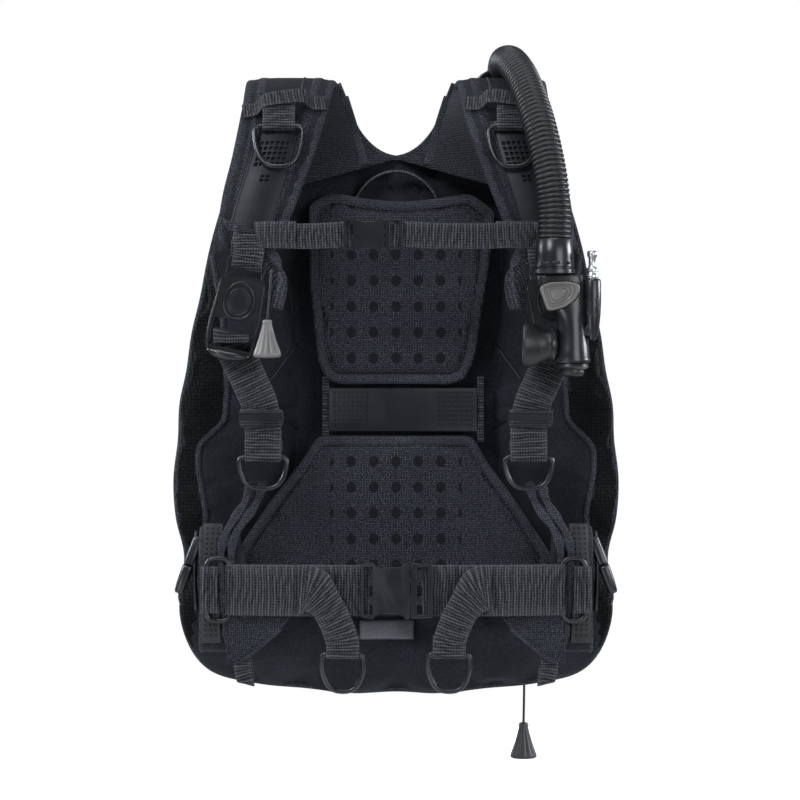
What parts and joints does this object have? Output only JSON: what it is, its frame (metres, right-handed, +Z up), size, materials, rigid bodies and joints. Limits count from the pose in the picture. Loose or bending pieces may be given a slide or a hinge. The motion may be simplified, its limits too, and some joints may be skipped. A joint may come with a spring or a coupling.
{
  "type": "buoyancy compensator vest",
  "caption": "Scuba diver's buoyancy vest: ring-shaped air cell on a backplate, padded straps with buckles and rings, weight pockets, and a corrugated hose with its inflator.",
  "frame": {"origin": "centre of the backplate's flat tank-side face", "axes": "+Z up the back, +Y towards the tank, +X to the wearer's left"},
  "size_m": [0.4468, 0.371, 0.7265],
  "materials": {
    "shell_fabric": "matt nylon weave",
    "bladder_film": "smooth film",
    "pad_mesh": "spacer mesh over foam",
    "strap_fabric": "coarse matt nylon weave",
    "webbing": "ribbed nylon webbing",
    "buckle_plastic": "satin moulded",
    "plate_plastic": "textured moulded",
    "rubber": "matt",
    "grey_plastic": "satin moulded",
    "chrome": "polished"
  },
  "bodies": {
    "vest": {"air_bladder": "bladder_film", "backplate": "plate_plastic", "cam_buckle": "buckle_plastic", "carry_handle": "webbing", "centre_band": "plate_plastic", "chest_ring_tab_left": "webbing", "chest_ring_tab_right": "webbing", "inflator_hose": "rubber", "ladder_lock_left": "buckle_plastic", "ladder_lock_right": "buckle_plastic", "lower_webbing_left": "webbing", "lower_webbing_right": "webbing", "lumbar_pad": "pad_mesh", "outer_shell": "shell_fabric", "rear_dump_valve": "buckle_plastic", "right_dump_valve": "buckle_plastic", "shoulder_buckle_tongue_left": "buckle_plastic", "shoulder_buckle_tongue_right": "buckle_plastic", "shoulder_elbow": "buckle_plastic", "shoulder_pad_left": "strap_fabric", "shoulder_pad_right": "strap_fabric", "shoulder_plate_left": "plate_plastic", "shoulder_plate_right": "plate_plastic", "shoulder_webbing_left": "webbing", "shoulder_webbing_right": "webbing", "sternum_buckle_socket": "buckle_plastic", "sternum_webbing_left": "webbing", "sternum_webbing_right": "webbing", "tank_band": "webbing", "upper_back_pad": "pad_mesh", "waist_buckle_socket": "buckle_plastic", "waist_side_ring_left": "buckle_plastic", "waist_side_ring_right": "buckle_plastic", "waist_webbing_left": "webbing", "waist_webbing_right": "webbing", "weight_pocket_left": "shell_fabric", "weight_pocket_right": "shell_fabric"},
    "chest_ring_left": {"chest_ring_left": "buckle_plastic"},
    "lower_ring_left": {"lower_ring_left": "buckle_plastic"},
    "waist_ring_left": {"waist_ring_left": "buckle_plastic"},
    "shoulder_frame_left": {"shoulder_buckle_frame_left": "buckle_plastic"},
    "weight_pouch_left": {"weight_pouch_left": "shell_fabric"},
    "chest_ring_right": {"chest_ring_right": "buckle_plastic"},
    "lower_ring_right": {"lower_ring_right": "buckle_plastic"},
    "waist_ring_right": {"waist_ring_right": "buckle_plastic"},
    "shoulder_frame_right": {"shoulder_buckle_frame_right": "buckle_plastic"},
    "weight_pouch_right": {"weight_pouch_right": "shell_fabric"},
    "sternum_prongs": {"sternum_buckle_prongs": "buckle_plastic"},
    "waist_prongs": {"waist_buckle_prongs": "buckle_plastic"},
    "inflator": {"hose_cuff": "buckle_plastic", "inflator_body": "buckle_plastic", "mouthpiece": "rubber", "inflator_nipple": "chrome"},
    "inflate_button": {"inflate_button": "grey_plastic"},
    "deflate_button": {"deflate_button": "rubber"},
    "cam_lever": {"cam_lever": "buckle_plastic"},
    "shoulder_dump_pull": {"shoulder_dump_pull": "grey_plastic"},
    "rear_dump_pull": {"rear_dump_pull": "grey_plastic"},
    "right_dump_poppet": {"right_dump_poppet": "grey_plastic"},
    "rear_dump_poppet": {"rear_dump_poppet": "grey_plastic"}
  },
  "joints": [
    {"name": "chest_ring_left_swing", "type": "hinge", "parent": "vest", "child": "chest_ring_left", "pos_m": [0.11625, -0.10501, 0.28144], "axis": [-1, 0, 0], "range_deg": [0, 25]},
    {"name": "lower_ring_left_swing", "type": "hinge", "parent": "vest", "child": "lower_ring_left", "pos_m": [0.131, -0.129, -0.046], "axis": [-1, 0, 0], "range_deg": [0, 110]},
    {"name": "waist_ring_left_swing", "type": "hinge", "parent": "vest", "child": "waist_ring_left", "pos_m": [0.052, -0.162, -0.238], "axis": [-1, 0, 0], "range_deg": [0, 110]},
    {"name": "shoulder_release_left", "type": "slide", "parent": "vest", "child": "shoulder_frame_left", "axis": [0.2079, 0, -0.9781], "range_m": [0, 0.037], "deforming": ["lower_webbing_left"]},
    {"name": "weight_pouch_left_pull", "type": "slide", "parent": "vest", "child": "weight_pouch_left", "axis": [1, 0, 0], "range_m": [0, 0.045]},
    {"name": "chest_ring_right_swing", "type": "hinge", "parent": "vest", "child": "chest_ring_right", "pos_m": [-0.11625, -0.10501, 0.28144], "axis": [-1, 0, 0], "range_deg": [0, 110]},
    {"name": "lower_ring_right_swing", "type": "hinge", "parent": "vest", "child": "lower_ring_right", "pos_m": [-0.131, -0.129, -0.046], "axis": [-1, 0, 0], "range_deg": [0, 110]},
    {"name": "waist_ring_right_swing", "type": "hinge", "parent": "vest", "child": "waist_ring_right", "pos_m": [-0.052, -0.162, -0.238], "axis": [-1, 0, 0], "range_deg": [0, 110]},
    {"name": "shoulder_release_right", "type": "slide", "parent": "vest", "child": "shoulder_frame_right", "axis": [-0.2079, 0, -0.9781], "range_m": [0, 0.037], "deforming": ["lower_webbing_right"]},
    {"name": "weight_pouch_right_pull", "type": "slide", "parent": "vest", "child": "weight_pouch_right", "axis": [-1, 0, 0], "range_m": [0, 0.045]},
    {"name": "sternum_release", "type": "slide", "parent": "vest", "child": "sternum_prongs", "axis": [1, 0, 0], "range_m": [0, 0.02], "deforming": ["sternum_webbing_left"]},
    {"name": "waist_release", "type": "slide", "parent": "vest", "child": "waist_prongs", "axis": [1, 0, 0], "range_m": [0, 0.024], "deforming": ["waist_webbing_left"]},
    {"name": "inflator_swing", "type": "hinge", "parent": "vest", "child": "inflator", "pos_m": [0.155, -0.16, 0.195], "axis": [-1, 0, 0], "range_deg": [0, 70], "deforming": ["inflator_hose"]},
    {"name": "inflate_press", "type": "slide", "parent": "inflator", "child": "inflate_button", "axis": [0, 1, 0], "range_m": [0, 0.003], "stiffness_N_per_m": 600},
    {"name": "deflate_press", "type": "slide", "parent": "inflator", "child": "deflate_button", "axis": [0, 0, 1], "range_m": [0, 0.004], "stiffness_N_per_m": 600},
    {"name": "cam_lever_swing", "type": "hinge", "parent": "vest", "child": "cam_lever", "pos_m": [0.1095, 0.077, 0.05], "axis": [0, 0, -1], "range_deg": [0, 120]},
    {"name": "shoulder_dump_draw", "type": "slide", "parent": "vest", "child": "shoulder_dump_pull", "axis": [0, 0, -1], "range_m": [0, 0.008]},
    {"name": "rear_dump_draw", "type": "slide", "parent": "vest", "child": "rear_dump_pull", "axis": [0, 0, -1], "range_m": [0, 0.008]},
    {"name": "right_dump_open", "type": "slide", "parent": "vest", "child": "right_dump_poppet", "axis": [0.5392, -0.8348, -0.1115], "range_m": [0, 0.006]},
    {"name": "rear_dump_open", "type": "slide", "parent": "vest", "child": "rear_dump_poppet", "axis": [-0.513, -0.8539, 0.0875], "range_m": [0, 0.006]}
  ],
  "couplings": [
    {"joint": "right_dump_open", "follows": "shoulder_dump_draw", "ratio": 0.75},
    {"joint": "rear_dump_open", "follows": "rear_dump_draw", "ratio": 0.75}
  ]
}
